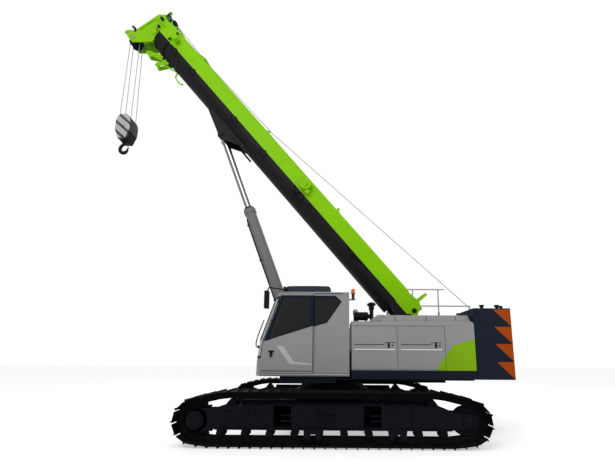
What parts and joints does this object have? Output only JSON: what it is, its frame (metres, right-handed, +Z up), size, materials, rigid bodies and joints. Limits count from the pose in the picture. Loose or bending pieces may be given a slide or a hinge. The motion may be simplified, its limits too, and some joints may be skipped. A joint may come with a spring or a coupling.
{
  "type": "telescopic crawler crane",
  "caption": "Telescopic boom crane on crawler tracks with raised boom, luffing cylinder, sliding-door cab, hoods, counterweight and hook block.",
  "frame": {"origin": "on the ground under the slewing axis", "axes": "+Z up, +X the way the boom points and the machine drives, +Y to its left"},
  "size_m": [9.9751, 4.6, 11.3637],
  "materials": {
    "green": "smooth bright green enamel",
    "grey": "smooth mid grey enamel",
    "navy": "dark blue-black enamel with light dust",
    "track_steel": "painted cast shoes, worn at the grousers",
    "dark": "charcoal enamel",
    "steel": "bare machined steel, lightly oiled",
    "chrome": "ground and polished rod",
    "silver": "silver paint",
    "glass": "clear laminated glass",
    "tinted_glass": "dark tinted glass",
    "black_plastic": "moulded black plastic",
    "beacon": "orange lens over a black base",
    "seat": "woven seat cover"
  },
  "bodies": {
    "undercarriage": {"carbody": "navy", "slew_ring": "steel"},
    "crawler_left": {"track_left": "track_steel", "track_frame_left": "navy", "sprocket_left": "navy", "idler_left": "navy", "bottom_rollers_left": "navy", "carrier_rollers_left": "navy"},
    "crawler_right": {"track_right": "track_steel", "track_frame_right": "navy", "sprocket_right": "navy", "idler_right": "navy", "bottom_rollers_right": "navy", "carrier_rollers_right": "navy"},
    "upper": {"turntable": "navy", "deck": "dark", "hood_left": "grey", "hood_right": "grey", "engine": "dark", "counterweight": "navy", "winch_frame": "dark", "cab_shell": "grey", "seat": "seat", "windscreen": "glass", "cab_windows": "tinted_glass", "roof_guard": "dark", "mirror": "black_plastic", "beacon": "beacon", "air_intake": "black_plastic", "exhaust": "grey", "handrails": "silver"},
    "hood_door_front_body": {"hood_door_front": "grey"},
    "hood_door_rear_body": {"hood_door_rear": "grey"},
    "cab_door_body": {"cab_door": "grey", "door_glass": "tinted_glass"},
    "winch": {"winch_drum": "steel"},
    "boom_foot": {"boom_foot_pin": "steel"},
    "boom": {"boom_base": "green", "cable_reel": "green", "boom_lamp": "green"},
    "section_2": {"boom_section_2": "green"},
    "section_3": {"boom_section_3": "green"},
    "section_4": {"boom_section_4": "green", "boom_head": "green", "head_sheaves": "steel", "head_top_sheave": "steel"},
    "head_pin": {"head_sheave_pin": "steel"},
    "falls": {"hoist_falls": "steel"},
    "block": {"hook_block": "silver"},
    "hook_body": {"hook": "steel"},
    "cylinder_foot": {"cylinder_foot_pin": "steel"},
    "barrel": {"luff_barrel": "grey"},
    "piston": {"luff_piston": "chrome"},
    "rod": {"luff_rod": "chrome"}
  },
  "joints": [
    {"name": "crawler_left", "type": "slide", "parent": "undercarriage", "child": "crawler_left", "axis": [0, -1, 0], "range_m": [0, 0.65]},
    {"name": "crawler_right", "type": "slide", "parent": "undercarriage", "child": "crawler_right", "axis": [0, 1, 0], "range_m": [0, 0.65]},
    {"name": "slew", "type": "hinge", "parent": "undercarriage", "child": "upper", "pos_m": [0, 0, 0.98], "axis": [0, 0, 1], "continuous": true},
    {"name": "boom_lower", "type": "hinge", "parent": "upper", "child": "boom_foot", "pos_m": [-1.8, 0, 2.45], "axis": [0, -1, 0], "range_deg": [-52, 0]},
    {"name": "boom_raise", "type": "hinge", "parent": "boom_foot", "child": "boom", "pos_m": [-1.8, 0, 2.45], "axis": [0, -1, 0], "range_deg": [0, 30]},
    {"name": "barrel_lower", "type": "hinge", "parent": "upper", "child": "cylinder_foot", "pos_m": [0.7, 0, 1.45], "axis": [0, -1, 0], "range_deg": [-65.09, 0]},
    {"name": "barrel_raise", "type": "hinge", "parent": "cylinder_foot", "child": "barrel", "pos_m": [0.7, 0, 1.45], "axis": [0, -1, 0], "range_deg": [0, 27.25]},
    {"name": "rod_lower", "type": "slide", "parent": "barrel", "child": "piston", "axis": [0.3566, 0, 0.9342], "range_m": [-2.0255, 0]},
    {"name": "rod_raise", "type": "slide", "parent": "piston", "child": "rod", "axis": [0.3566, 0, 0.9342], "range_m": [0, 1.3518]},
    {"name": "boom_extend", "type": "slide", "parent": "boom", "child": "section_2", "axis": [0.6428, 0, 0.766], "range_m": [0, 7.6]},
    {"name": "section_3_extend", "type": "slide", "parent": "section_2", "child": "section_3", "axis": [0.6428, 0, 0.766], "range_m": [0, 7.6]},
    {"name": "section_4_extend", "type": "slide", "parent": "section_3", "child": "section_4", "axis": [0.6428, 0, 0.766], "range_m": [0, 7.6]},
    {"name": "falls_lower", "type": "hinge", "parent": "section_4", "child": "head_pin", "pos_m": [5.71787, 0, 10.52735], "axis": [0, -1, 0], "range_deg": [0, 52]},
    {"name": "falls_raise", "type": "hinge", "parent": "head_pin", "child": "falls", "pos_m": [5.71787, 0, 10.52735], "axis": [0, -1, 0], "range_deg": [-30, 0]},
    {"name": "hook_hoist", "type": "slide", "parent": "falls", "child": "block", "axis": [0, 0, -1], "range_m": [-1.6, 0], "deforming": ["hoist_falls"]},
    {"name": "hook_swivel", "type": "hinge", "parent": "block", "child": "hook_body", "pos_m": [5.71787, 0, 7.4], "axis": [0, 0, 1], "continuous": true},
    {"name": "cab_door_slide", "type": "slide", "parent": "upper", "child": "cab_door_body", "axis": [-1, 0, 0], "range_m": [0, 0.56]},
    {"name": "hood_door_front", "type": "hinge", "parent": "upper", "child": "hood_door_front_body", "pos_m": [-0.41725, 1.48, 1.8], "axis": [0, 0, -1], "range_deg": [0, 95]},
    {"name": "hood_door_rear", "type": "hinge", "parent": "upper", "child": "hood_door_rear_body", "pos_m": [-1.36225, 1.48, 1.8], "axis": [0, 0, -1], "range_deg": [0, 95]},
    {"name": "winch_spin", "type": "hinge", "parent": "upper", "child": "winch", "pos_m": [-3.52, 0, 2.42], "axis": [0, 1, 0], "continuous": true}
  ],
  "couplings": [
    {"joint": "barrel_lower", "follows": "boom_lower", "ratio": 1.2507},
    {"joint": "barrel_raise", "follows": "boom_raise", "ratio": 0.90655},
    {"joint": "rod_lower", "follows": "boom_lower", "m_per_rad": 2.2296},
    {"joint": "rod_raise", "follows": "boom_raise", "m_per_rad": 2.5778},
    {"joint": "section_3_extend", "follows": "boom_extend", "ratio": 1},
    {"joint": "section_4_extend", "follows": "boom_extend", "ratio": 1},
    {"joint": "falls_lower", "follows": "boom_lower", "ratio": -1},
    {"joint": "falls_raise", "follows": "boom_raise", "ratio": -1}
  ]
}
